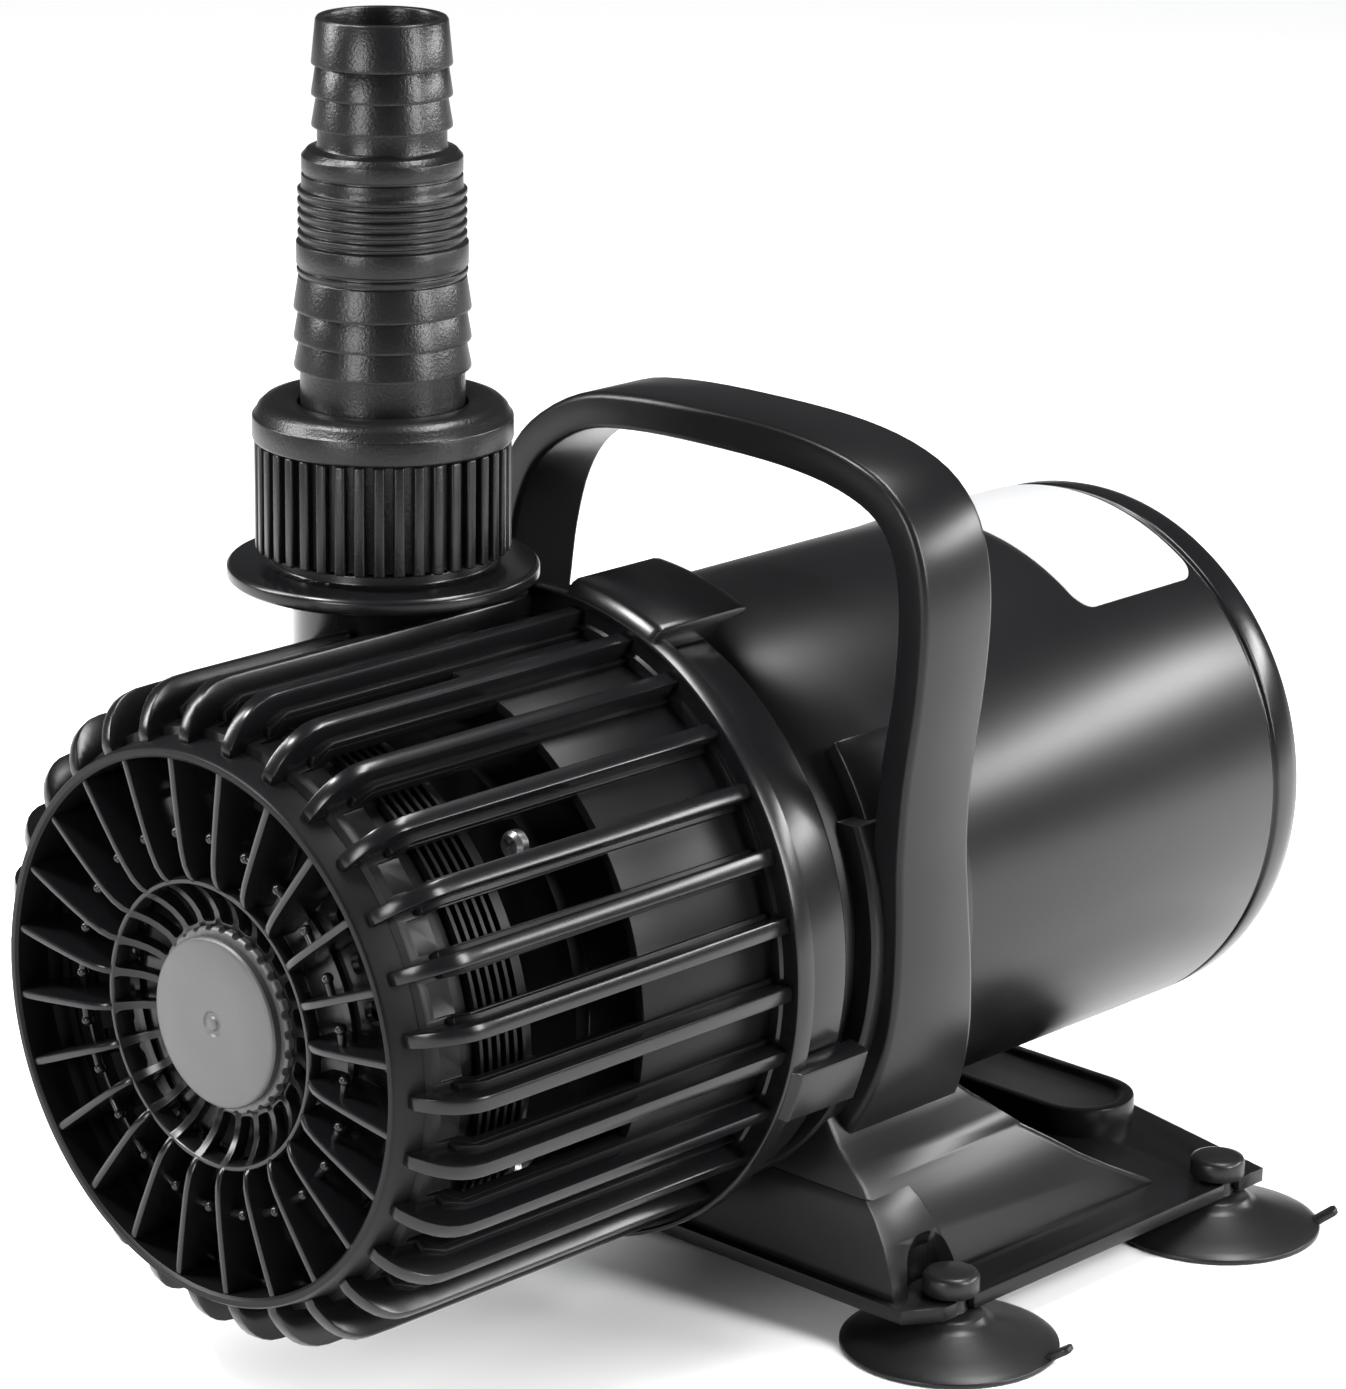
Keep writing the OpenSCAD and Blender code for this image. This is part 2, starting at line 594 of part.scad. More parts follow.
strainer_cage();
pump_housing();
chamber_cover();
cover_oring();
cover_screws();
impeller();
rotor_magnet();
shaft();
front_bush();
rear_bush();
rotor_can();
stator_core();
stator_coils();
potting();
motor_shell();
rear_cap();
cap_oring();
gland_nut();
gland_seal();
rating_label();
stand();
union_nut();
hose_adapter();
adapter_gasket();
cup_front_right();
cup_front_left();
cup_rear_right();
cup_rear_left();
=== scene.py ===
import math

import bpy
from mathutils import Matrix, Vector


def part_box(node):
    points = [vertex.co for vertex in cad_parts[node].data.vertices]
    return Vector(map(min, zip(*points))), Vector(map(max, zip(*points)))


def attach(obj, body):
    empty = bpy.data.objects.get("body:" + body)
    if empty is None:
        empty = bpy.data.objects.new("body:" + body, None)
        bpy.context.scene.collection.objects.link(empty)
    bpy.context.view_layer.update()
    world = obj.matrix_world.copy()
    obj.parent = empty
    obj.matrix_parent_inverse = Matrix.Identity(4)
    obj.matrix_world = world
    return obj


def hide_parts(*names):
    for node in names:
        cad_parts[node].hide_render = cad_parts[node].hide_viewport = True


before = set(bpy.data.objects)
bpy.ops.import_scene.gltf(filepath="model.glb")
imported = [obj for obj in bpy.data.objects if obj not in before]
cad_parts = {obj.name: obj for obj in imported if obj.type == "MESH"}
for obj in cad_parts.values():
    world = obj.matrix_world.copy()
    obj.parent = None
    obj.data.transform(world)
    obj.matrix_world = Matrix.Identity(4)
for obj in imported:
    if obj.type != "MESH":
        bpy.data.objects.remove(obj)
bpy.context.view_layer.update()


# Studio: the pump stands on a plain pale floor and is seen from its inlet side, from the
# right and a little above. Five soft boxes hang round it, and a broad sun lights the floor.
mm = 0.001
rim_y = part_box("strainer_cage")[0].y
shell_low, shell_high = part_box("motor_shell")
axis_z = (shell_low.z + shell_high.z) / 2


def at(x, y, z):
    """A place on the pump in millimetres: y from its front rim, z from its axis."""
    return Vector((x * mm, rim_y + y * mm, axis_z + z * mm))


def looking(place, azimuth, elevation, roll=0.0):
    """The pose of a camera or lamp that stands at a place and looks back along a direction."""
    a, e, t = (math.radians(v) for v in (azimuth, elevation, roll))
    back = Vector((math.sin(a) * math.cos(e), -math.cos(a) * math.cos(e), math.sin(e)))
    side = Vector((math.cos(a), math.sin(a), 0))
    up = back.cross(side)
    right = side * math.cos(t) + up * math.sin(t)
    up = up * math.cos(t) - side * math.sin(t)
    pose = Matrix((right, up, back)).transposed().to_4x4()
    pose.translation = place
    return pose


eye = bpy.data.cameras.new("studio_camera")
eye.lens = 129.9
eye.sensor_width = 36
eye.sensor_fit = "AUTO"
eye.clip_start = 0.05
camera = bpy.data.objects.new("studio_camera", eye)
camera.matrix_world = looking(at(670.2, -581.2, 336.5), azimuth=43.31, elevation=16.96, roll=0.85)
bpy.context.scene.collection.objects.link(camera)
bpy.context.scene.camera = camera

# Each box: azimuth and elevation in degrees, distance, width and height in metres, and power.
soft_boxes = {
    "box_over": (150, 70, 0.9, 0.5, 0.14, 9),
    "box_left": (-50, 34, 0.9, 0.16, 0.6, 11),
    "box_front": (8, 16, 1.1, 0.28, 0.4, 8),
    "box_right": (104, 24, 0.9, 0.14, 0.5, 9),
    "box_behind": (142, 20, 0.9, 0.6, 0.12, 7),
}
for name, (azimuth, elevation, distance, width, height, power) in soft_boxes.items():
    lamp = bpy.data.lights.new(name, "AREA")
    lamp.shape = "RECTANGLE"
    lamp.size = width
    lamp.size_y = height
    lamp.energy = power
    box = bpy.data.objects.new(name, lamp)
    pose = looking(Vector((0, 0, 0)), azimuth, elevation)
    box.matrix_world = Matrix.Translation(at(0, 120, 0) + pose.col[2].to_3d() * distance) @ pose
    bpy.context.scene.collection.objects.link(box)
sun = bpy.data.objects.new("window_sun", bpy.data.lights.new("window_sun", "SUN"))
sun.data.energy = 3.3
sun.data.angle = math.radians(9)
sun.matrix_world = looking(at(0, 0, 900), azimuth=-35, elevation=60)
bpy.context.scene.collection.objects.link(sun)

bpy.context.scene.view_settings.view_transform = "Standard"
sky = bpy.data.worlds.new("studio")
sky.use_nodes = True
sky.node_tree.nodes["Background"].inputs["Color"].default_value = (0.92, 0.94, 0.96, 1)
sky.node_tree.nodes["Background"].inputs["Strength"].default_value = 0.09
bpy.context.scene.world = sky

bpy.ops.object.select_all(action="DESELECT")
bpy.ops.mesh.primitive_plane_add(size=40)
floor = bpy.context.active_object
floor.name = "floor"
paper = bpy.data.materials.new("floor_paper")
paper.use_nodes = True
paper.node_tree.nodes["Principled BSDF"].inputs["Base Color"].default_value = (0.90, 0.90, 0.90, 1)
paper.node_tree.nodes["Principled BSDF"].inputs["Roughness"].default_value = 0.7
floor.data.materials.append(paper)


# Motor housing: a drawn plastic tube, satin black outside, that the stator is potted into.
# Its front end sits in the pump collar and its rear end stops at the rear cap.
class Tap:
    """One socket of a material. Sums on it add Math nodes, and node() adds any other node."""

    def __init__(self, tree, socket=None):
        self.tree = tree
        self.socket = socket

    def node(self, kind, settings, sockets, out=0):
        made = self.tree.nodes.new("ShaderNode" + kind)
        for name, value in settings.items():
            setattr(made, name, value)
        for name, value in sockets.items():
            if isinstance(value, Tap):
                self.tree.links.new(value.socket, made.inputs[name])
            else:
                made.inputs[name].default_value = value
        return Tap(self.tree, made.outputs[out])

    def sum(self, operation, first, second):
        return self.node("Math", {"operation": operation}, {0: first, 1: second})

    def __add__(self, other):
        return self.sum("ADD", self, other)

    def __radd__(self, other):
        return self.sum("ADD", other, self)

    def __mul__(self, other):
        return self.sum("MULTIPLY", self, other)

    def __rmul__(self, other):
        return self.sum("MULTIPLY", other, self)


def started(name):
    """A new material, and the places on its piece that its pattern grows from."""
    material = bpy.data.materials.new(name)
    material.use_nodes = True
    return material, Tap(material.node_tree).node("TexCoord", {}, {}, "Object")


def noise(place, scale, detail=3.0, roughness=0.55):
    """A cloudy pattern, finer with a higher scale."""
    sockets = {"Vector": place, "Scale": scale, "Detail": detail, "Roughness": roughness}
    return place.node("TexNoise", {}, sockets)


def between(amount, dark, light):
    """A colour that varies from dark to light with an amount."""
    return amount.node("Mix", {"data_type": "RGBA"}, {0: amount, 6: (*dark, 1), 7: (*light, 1)}, 2)


def surfaced(material, colour, gloss, height, depth, metallic=0.0, specular=0.5, coat=0.0):
    """Finishes a material with its colour, its roughness and a relief of a depth in millimetres."""
    shader = material.node_tree.nodes["Principled BSDF"]
    shader.inputs["Metallic"].default_value = metallic
    shader.inputs["Specular IOR Level"].default_value = specular
    shader.inputs["Coat Weight"].default_value = coat
    shader.inputs["Coat Roughness"].default_value = 0.2
    relief = height.node("Bump", {}, {"Height": height, "Distance": depth * mm, "Strength": 1.0})
    for name, varied in (("Base Color", colour), ("Roughness", gloss), ("Normal", relief)):
        material.node_tree.links.new(varied.socket, shader.inputs[name])
    return material


def moulded(name, dark, light, smooth, rough, grain, depth, specular=0.26, coat=0.0):
    """Moulded plastic or rubber: cloudy colour and gloss, and a fine grain from the mould's skin."""
    material, place = started(name)
    cloud = noise(place, 28.0, 4.0)
    flow = noise(place.node("Mapping", {}, {"Vector": place, "Scale": (1.0, 0.22, 1.0)}), 90.0, 5.0)
    skin = noise(place, grain, 2.0, 0.6)
    gloss = smooth + (cloud * 0.35 + flow * 0.4 + skin * 0.25) * (rough - smooth)
    colour = between(cloud, dark, light)
    height = skin * 0.8 + flow * 0.2
    return surfaced(material, colour, gloss, height, depth, specular=specular, coat=coat)


def picked(piece):
    """Selects a piece alone and makes it the active one."""
    bpy.ops.object.select_all(action="DESELECT")
    bpy.context.view_layer.objects.active = piece
    piece.select_set(True)
    return piece


def modified(piece, kind, **settings):
    """Gives a piece one modifier with its settings, and applies it."""
    picked(piece)
    change = piece.modifiers.new(kind.lower(), kind)
    for name, value in settings.items():
        setattr(change, name, value)
    bpy.ops.object.modifier_apply(modifier=change.name)
    return piece


def rounded(piece, edge, segments=2, sharp=30):
    """Rounds the edges of a piece that are sharper than an angle in degrees."""
    return modified(piece, "BEVEL", width=edge * mm, segments=segments, limit_method="ANGLE",
                    angle_limit=math.radians(sharp))


def turned(name, outline, upright=None, steps=144, closed=False):
    """A turned shape, drawn out through an outline of (radius, place) along the pump axis.

    With upright it stands on that centre instead. A closed outline comes back to its first ring.
    """
    foot = upright if upright else at(0, 0, 0)
    along = Vector((0, 0, 1)) if upright else Vector((0, 1, 0))
    if closed:
        outline = outline + outline[:1]
    radius, place = outline[0]
    bpy.ops.object.select_all(action="DESELECT")
    bpy.ops.mesh.primitive_circle_add(
        vertices=steps,
        radius=radius * mm,
        location=foot + along * place * mm,
        rotation=(0, 0, 0) if upright else (math.radians(90), 0, 0),
    )
    piece = bpy.context.active_object
    piece.name = name
    bpy.ops.object.mode_set(mode="EDIT")
    for (r0, p0), (r1, p1) in zip(outline, outline[1:]):
        bpy.ops.mesh.extrude_edges_move(TRANSFORM_OT_translate={"value": along * (p1 - p0) * mm})
        size = r1 / r0
        bpy.ops.transform.resize(value=(size, size, size), center_override=foot + along * p1 * mm)
    bpy.ops.mesh.select_all(action="SELECT")
    bpy.ops.mesh.remove_doubles(threshold=1e-6)
    if not closed:
        bpy.ops.mesh.fill_holes(sides=0)
    bpy.ops.mesh.normals_make_consistent(inside=False)
    bpy.ops.object.mode_set(mode="OBJECT")
    return piece


def finished(piece, material, body, edge=0.3, sharp=30, smooth=35):
    """Settles a piece in place, rounds its edges, smooths it and hangs it on its body."""
    picked(piece)
    bpy.ops.object.transform_apply(location=True, rotation=True, scale=True)
    if edge:
        rounded(piece, edge, sharp=sharp)
    bpy.ops.object.shade_smooth_by_angle(angle=math.radians(smooth))
    piece.data.materials.clear()
    piece.data.materials.append(material)
    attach(piece, body)
    return piece


shell_plastic = moulded(
    "shell_plastic", (0.0025, 0.0025, 0.003), (0.0045, 0.0045, 0.005),
    smooth=0.26, rough=0.34, grain=1500, depth=0.005,
)
shell = turned(
    "motor_housing",
    [(56.4, 104.2), (59, 104.2), (59, 256.3), (58.5, 256.8), (56.4, 256.8)],
    closed=True,
)
finished(shell, shell_plastic, "pump", edge=0.2)
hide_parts("motor_shell")


# Rear cap: a moulded disc with a rounded edge that is screwed into the housing against an
# O-ring, leaving a fine seam. The mains lead would leave through its gland above the middle.
housing_plastic = moulded(
    "housing_plastic", (0.0025, 0.0025, 0.003), (0.005, 0.005, 0.0055),
    smooth=0.18, rough=0.30, grain=1100, depth=0.008,
)
cap = turned(
    "rear_cover",
    [(56.2, 250.0), (58.2, 256.9), (58.2, 257.9), (58.9, 258.2), (59, 259.0), (58.8, 263.4),
     (58.0, 266.4), (56.2, 268.1), (54.6, 268.6), (50.4, 268.6), (49.6, 267.9), (16, 267.9)],
)
finished(cap, housing_plastic, "pump", edge=0.35)
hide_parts("rear_cap")


def shifted(piece, x=0, y=0, z=0):
    """Moves a piece by a distance in millimetres."""
    picked(piece)
    bpy.ops.transform.translate(value=(x * mm, y * mm, z * mm))
    return piece


gland_z = 24.8
boss = turned(
    "gland_boss",
    [(8.1, 267.0), (11.3, 267.0), (11.3, 270.6), (10.9, 271.0), (8.1, 271.0)],
    steps=64, closed=True,
)
finished(shifted(boss, z=gland_z), housing_plastic, "pump", edge=0.2)
dome = turned(
    "gland_dome",
    [(4.4, 276.4), (9.6, 276.4), (9.6, 277.0), (9.0, 278.0), (8.6, 279.6), (6.8, 281.5),
     (4.6, 281.6)],
    steps=64, closed=True,
)
finished(shifted(dome, z=gland_z), housing_plastic, "pump", edge=0.2)
collar = turned(
    "gland_hexagon",
    [(7.9, 271.1), (10.9, 271.1), (10.9, 276.6), (7.9, 276.6)],
    steps=6, closed=True,
)
finished(shifted(collar, z=gland_z), housing_plastic, "pump", edge=0.4)
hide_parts("gland_nut")


# Rating label: a blank white film with rounded corners, stuck over the top of the housing
# against the rear cap.
label_film, place = started("label_film")
cloud = noise(place, 60.0)
ripple = noise(place, 140.0, 2.0)
film_white = (0.33, 0.333, 0.338)
film_shade = between(cloud, [value * 0.93 for value in film_white], film_white)
surfaced(label_film, film_shade, cloud * 0.16 + 0.34, ripple, 0.02, specular=0.4)


def stretched(piece, x, y, z, middle):
    """Stretches a new primitive about a place."""
    picked(piece)
    bpy.ops.object.mode_set(mode="EDIT")
    bpy.ops.mesh.select_all(action="SELECT")
    bpy.ops.transform.resize(value=(x, y, z), center_override=middle)
    bpy.ops.object.mode_set(mode="OBJECT")
    return piece


label_middle = at(0, 236.2, 62)
bpy.ops.object.select_all(action="DESELECT")
bpy.ops.mesh.primitive_grid_add(x_subdivisions=64, y_subdivisions=8, size=1, location=label_middle)
label = bpy.context.active_object
label.name = "blank_label"
stretched(label, 72.4 * mm, 38.4 * mm, 1, label_middle)
modified(label, "SHRINKWRAP", target=shell, wrap_method="PROJECT", use_project_z=True,
         use_negative_direction=True, use_positive_direction=False, offset=0.08 * mm)
modified(label, "SOLIDIFY", thickness=0.2 * mm, offset=1)


def outlined(name, corners, height):
    """A flat face with the given corners, added over the pump axis and left open for editing."""
    bpy.ops.object.select_all(action="DESELECT")
    bpy.ops.mesh.primitive_circle_add(
        vertices=len(corners), radius=1 * mm, fill_type="NGON", location=at(0, 0, height)
    )
    face = bpy.context.active_object
    face.name = name
    for corner, place in zip(face.data.vertices, corners):
        corner.co = place - face.location
    bpy.ops.object.mode_set(mode="EDIT")
    bpy.ops.mesh.select_all(action="SELECT")
    return face


def closed_up(piece):
    """Turns a drawn-out piece's faces outwards and leaves edit mode."""
    bpy.ops.mesh.select_all(action="SELECT")
    bpy.ops.mesh.normals_make_consistent(inside=False)
    bpy.ops.object.mode_set(mode="OBJECT")
    return piece


def slab(name, corners, top, thickness):
    """A flat plate with the given corners (x, y), its top at a height and drawn down from there."""
    plate = outlined(name, [at(x, y, top) for x, y in corners], top)
    bpy.ops.mesh.extrude_region_move(TRANSFORM_OT_translate={"value": (0, 0, -thickness * mm)})
    return closed_up(plate)


def cut(piece, cutter, keep_inside=False):
    """Takes a cutter's shape out of a piece, or keeps what is inside it, and drops the cutter."""
    operation = "INTERSECT" if keep_inside else "DIFFERENCE"
    modified(piece, "BOOLEAN", operation=operation, solver="EXACT", object=cutter)
    bpy.data.objects.remove(cutter, do_unlink=True)
    return piece


def arc(x, y, radius, first, last, step):
    """Corners (x, y) round a centre, from one angle to another in degrees."""
    angles = [math.radians(angle) for angle in range(first, last + 1, step)]
    return [(x + radius * math.cos(angle), y + radius * math.sin(angle)) for angle in angles]


label_corners = ((32.2, 251.4, 0), (-32.2, 251.4, 90), (-32.2, 221.0, 180), (32.2, 221.0, 270))
corners = [corner for x, y, first in label_corners for corner in arc(x, y, 4, first, first + 90, 15)]
cut(label, slab("label_outline", corners, 70, 60), keep_inside=True)
finished(label, label_film, "pump", edge=0)
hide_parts("rating_label")


# Pump housing: the moulded pump chamber with its spigot and collar, and the outlet pipe with
# its flange, all in one piece. The motor housing is glued into the back of the collar.
outlet_low, outlet_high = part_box("hose_adapter")
outlet = Vector(((outlet_low.x + outlet_high.x) / 2, (outlet_low.y + outlet_high.y) / 2, axis_z))
chamber = turned(
    "pump_chamber",
    [(43, 57), (48, 57), (48, 92), (58.1, 92), (58.1, 99.8), (63.3, 99.8), (64, 100.5), (64, 112.3),
     (63, 113.3), (59.2, 113.3), (59.2, 104), (50, 104), (50, 96), (21.1, 96), (21.1, 92),
     (43, 92)],
    closed=True,
)
finished(chamber, housing_plastic, "pump", edge=0.35)
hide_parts("pump_housing")
pipe = turned(
    "outlet_pipe",
    [(14.4, 38), (18, 38), (18, 66.4), (18.6, 68.0), (20, 68.6), (30.2, 68.6), (31, 69.3),
     (31, 71.3), (30.3, 72), (23.2, 72), (22.4, 72.6), (22.4, 74.4), (21.8, 74.9), (19.4, 74.9),
     (19.4, 92.2), (14.4, 92.2)],
    upright=outlet, closed=True,
)
finished(pipe, housing_plastic, "pump", edge=0.25)


# Union nut: a grained, moulded nut with a rounded shoulder and straight grip ribs round its
# skirt. It holds the hose adapter down on the outlet spigot.
grained_plastic = moulded(
    "grained_plastic", (0.0025, 0.0025, 0.003), (0.006, 0.006, 0.0065),
    smooth=0.24, rough=0.38, grain=1500, depth=0.09,
)


def drawn_out(name, places, sizes, facing=(0, 0, 0), turns=None):
    """A flat plate at the first place, drawn out through the others to a given size at each.

    With turns it is also turned about Y at each place, by so many degrees from its first facing.
    """

    def turn(degrees, place):
        bpy.ops.transform.rotate(value=math.radians(degrees), orient_axis="Y", center_override=place)

    bpy.ops.object.select_all(action="DESELECT")
    bpy.ops.mesh.primitive_plane_add(size=1, location=places[0], rotation=facing)
    piece = bpy.context.active_object
    piece.name = name
    bpy.ops.object.mode_set(mode="EDIT")
    bpy.ops.transform.resize(value=sizes[0], center_override=places[0])
    if turns:
        turn(turns[0], places[0])
    for i in range(1, len(places)):
        bpy.ops.mesh.extrude_region_move(TRANSFORM_OT_translate={"value": places[i] - places[i - 1]})
        if turns:
            turn(-turns[i - 1], places[i])
        growth = [after / before for before, after in zip(sizes[i - 1], sizes[i])]
        bpy.ops.transform.resize(value=growth, center_override=places[i])
        if turns:
            turn(turns[i], places[i])
    return closed_up(piece)


def drawn(name, along, stations):
    """A piece over the pump axis, drawn out from station to station along Y or Z.

    A station is (place, low, high, width): its place on that axis, and its section's lowest and
    highest point on the other of the two, in millimetres.
    """
    if along == "Y":
        places = [at(0, place, (low + high) / 2) for place, low, high, width in stations]
        sizes = [(width * mm, 1, (high - low) * mm) for place, low, high, width in stations]
        return drawn_out(name, places, sizes, facing=(math.radians(90), 0, 0))
    places = [at(0, (low + high) / 2, place) for place, low, high, width in stations]
    sizes = [(width * mm, (high - low) * mm, 1) for place, low, high, width in stations]
    return drawn_out(name, places, sizes)


def ringed(piece, count, start=0.0, middle=None):
    """Copies a piece all round the pump axis, or round an upright axis, within its own mesh."""
    centre = middle if middle else at(0, 0, 0)
    picked(piece)
    bpy.ops.object.mode_set(mode="EDIT")
    bpy.ops.mesh.select_all(action="SELECT")
    if start:
        bpy.ops.transform.rotate(
            value=math.radians(start), orient_axis="Z" if middle else "Y", center_override=centre
        )
    bpy.ops.mesh.spin(
        steps=count - 1,
        dupli=True,
        angle=2 * math.pi / count * (count - 1),
        center=centre,
        axis=(0, 0, 1) if middle else (0, 1, 0),
    )
    bpy.ops.object.mode_set(mode="OBJECT")
    return piece


nut = turned(
    "nut_body",
    [(20.7, 75.2), (23.6, 75.2), (23.6, 96.6), (25.4, 96.9), (25.7, 97.3), (25.7, 101.7),
     (25.2, 102.1), (24.6, 103.4), (23.4, 104.5), (21.6, 105.0), (18.6, 104.9), (16.9, 104.4),
     (16.6, 104.0), (16.6, 97.4), (20.7, 97.4)],
    upright=outlet, closed=True,
)
finished(nut, grained_plastic, "nut", edge=0.2)
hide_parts("union_nut")
grip = drawn("nut_grip", "Z", [(74.9, -25.3, -23.2, 2.1), (96.8, -25.3, -23.2, 2.1)])
grip = shifted(rounded(grip, 0.45, segments=3), outlet.x / mm, (outlet.y - rim_y) / mm)
ringed(grip, 40, middle=outlet)
finished(grip, grained_plastic, "nut", edge=0)


# Hose adapter: a grained, stepped hose tail with three small barbs, a short thread, and three
# larger barbs, that turns freely in the union nut.
def barb(foot, top, low, high):
    """One hose barb's outline: a sharp step out at its foot and a long taper to its top."""
    return [(low, foot), (high, foot + 0.1), (high - 0.05, foot + 0.7), (low + 0.15, top)]


tail = [(13.5, 95.0), (20.1, 94.4), (20.1, 96.8), (16.2, 96.9), (16.2, 111.2)]
for foot, top, low in ((111.3, 116.8, 16.2), (117.0, 122.7, 16.3), (123.0, 129.4, 16.3)):
    tail += barb(foot, top, low, 17.4)
tail += [(16.2, 129.6), (16.2, 130.2), (16.7, 130.3), (16.7, 131.0), (16.3, 131.1), (16.3, 131.7),
         (16.8, 131.9), (16.8, 136.2), (15.8, 136.5)]
thread_turns, thread_pitch = 5, 2.1
for i in range(thread_turns):
    foot = 137.2 + thread_pitch * i
    tail += [(15.8, foot), (16.5, foot + 0.2), (16.5, foot + 1.0), (15.8, foot + 1.3)]
tail += [(15.7, 148.0), (15.7, 149.4), (15.3, 149.5), (15.3, 150.0), (15.7, 150.1), (15.7, 153.0),
         (14.6, 154.3), (12.8, 154.7), (12.6, 155.3), (12.6, 158.6)]
for foot, top, low in ((158.7, 164.6, 12.6), (164.8, 170.6, 12.7), (170.8, 179.4, 12.7)):
    tail += barb(foot, top, low, 13.7)
tail += [(12.5, 179.9), (11.6, 180.0), (11.1, 179.7), (11.0, 178.9), (11.0, 127.6), (13.5, 127.2)]
adapter = turned("hose_tail", tail, upright=outlet, closed=True)
finished(adapter, grained_plastic, "adapter", edge=0.12)
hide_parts("hose_adapter")


# Strainer cage: a black moulding that is pushed over the pump chamber. Its drum has long
# windows between thirty ribs, and its front has curved blades round a bowl and a middle disc.
def rod(place, radius, length, along="Z", vertices=48):
    """A round rod along one axis with its middle at a place, for a cutter or a peg."""
    facing = {"X": (0, math.radians(90), 0), "Y": (math.radians(90), 0, 0), "Z": (0, 0, 0)}[along]
    bpy.ops.object.select_all(action="DESELECT")
    bpy.ops.mesh.primitive_cylinder_add(
        vertices=vertices, radius=radius * mm, depth=length * mm, location=place, rotation=facing
    )
    return bpy.context.active_object


def block(place, x, y, z):
    """A square block with its middle at a place, for a cutter."""
    bpy.ops.object.select_all(action="DESELECT")
    bpy.ops.mesh.primitive_cube_add(size=1, location=place)
    return stretched(bpy.context.active_object, x * mm, y * mm, z * mm, place)


gap_radius, lane_length = 20.4, 60
rib_count, blade_count = 30, 24


def slot_for_outlet(piece):
    """Takes the gap for the outlet pipe, open to the rear, out of a piece of the cage."""
    middle = outlet + Vector((0, 0, 80 * mm))
    cut(piece, rod(middle, gap_radius, 80, vertices=96))
    lane_middle = middle + Vector((0, lane_length / 2 * mm, 0))
    return cut(piece, block(lane_middle, 2 * gap_radius, lane_length, 79.5))


wall_plastic = moulded(
    "wall_plastic", (0.002, 0.002, 0.0025), (0.004, 0.004, 0.0045),
    smooth=0.32, rough=0.44, grain=1300, depth=0.012, specular=0.12,
)
drum = turned(
    "cage_drum",
    [(52.4, 0.5), (53.0, 0.0), (54.1, 0.0), (54.5, 0.6), (55.3, 7.0), (56.8, 7.4), (57.6, 13.0),
     (60.5, 15.2), (60.5, 95), (58.5, 95), (58.5, 16.6), (55.8, 14.6), (54.2, 9.0), (52.9, 8.2)],
    steps=180, closed=True,
)
window = drawn(
    "window", "Y",
    [(9.4, 56.4, 64, 6.6), (15.6, 56.4, 64, 7.2), (15.7, 53.2, 64, 7.2), (59, 53.2, 64, 7.6)],
)
cut(drum, ringed(rounded(window, 0.5), rib_count))
slot_for_outlet(drum)
finished(drum, wall_plastic, "cage", edge=0.25, sharp=40)
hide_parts("strainer_cage")

rib = drawn(
    "cage_ribs", "Y",
    [(95.3, 59.6, 65.6, 3.3), (60, 59.8, 65.6, 3.2), (19, 59.8, 65.6, 3.1), (14, 57.4, 65.5, 3.1),
     (11.4, 56.0, 65.1, 3.1), (9.4, 55.6, 64.3, 3.0), (7.6, 55.3, 63.1, 3.0),
     (6.0, 55.0, 61.5, 2.9), (4.7, 54.8, 59.6, 2.9), (3.8, 54.6, 57.8, 2.8),
     (3.2, 54.4, 56.2, 2.7)],
)
ribs = ringed(rounded(rib, 0.45, sharp=40), rib_count, start=180 / rib_count)
slot_for_outlet(ribs)
finished(ribs, housing_plastic, "cage", edge=0)
rib_foot = drawn(
    "rib_feet", "Y",
    [(95.2, 59.8, 61.6, 5.2), (58, 59.8, 61.6, 5.0), (16.4, 59.8, 61.6, 5.0),
     (12.0, 56.4, 59.4, 5.0)],
)
feet = ringed(rounded(rib_foot, 0.25, sharp=40), rib_count, start=180 / rib_count)
slot_for_outlet(feet)
finished(feet, wall_plastic, "cage", edge=0)
sleeve_outline = [(52.0, 12.6), (54.0, 12.6), (54.6, 15.0), (54.6, 19.0)]
ridge_count, ridge_pitch = 6, 2.2
for i in range(ridge_count):
    foot = 20.0 + ridge_pitch * i
    sleeve_outline += [(54.6, foot), (56.4, foot + 0.1), (56.4, foot + 0.9), (54.6, foot + 1.0)]
sleeve_outline += [(54.6, 35.0), (52.8, 35.0), (52.8, 16.0), (52.0, 15.2)]
sleeve = turned("cage_sleeve", sleeve_outline, steps=120, closed=True)
slot_for_outlet(sleeve)
finished(sleeve, wall_plastic, "cage", edge=0)

mouth = turned(
    "cage_mouth",
    [(58.5, 94.6), (60.6, 94.4), (62.6, 94.6), (63.0, 95.3), (66.3, 95.3), (66.7, 94.7),
     (67.3, 94.7), (67.5, 95.1), (67.5, 99.2), (67.2, 99.5), (58.5, 99.5)],
    steps=180, closed=True,
)
slot_for_outlet(mouth)
finished(mouth, housing_plastic, "cage", edge=0.2)

blade = drawn(
    "cage_blades", "Z",
    [(53.6, 0.7, 9.4, 1.8), (51, 0.7, 12.2, 1.7), (45, 0.7, 12.6, 1.7), (39, 0.8, 12.4, 1.6),
     (34.4, 1.0, 12.0, 1.6), (31.4, 1.4, 11.6, 1.6), (29.2, 2.2, 11.0, 1.6), (27.9, 3.2, 10.4, 1.6),
     (27.3, 4.4, 9.6, 1.6)],
)
blades = ringed(rounded(blade, 0.5, sharp=40), blade_count, start=180 / blade_count)
finished(blades, housing_plastic, "cage", edge=0)

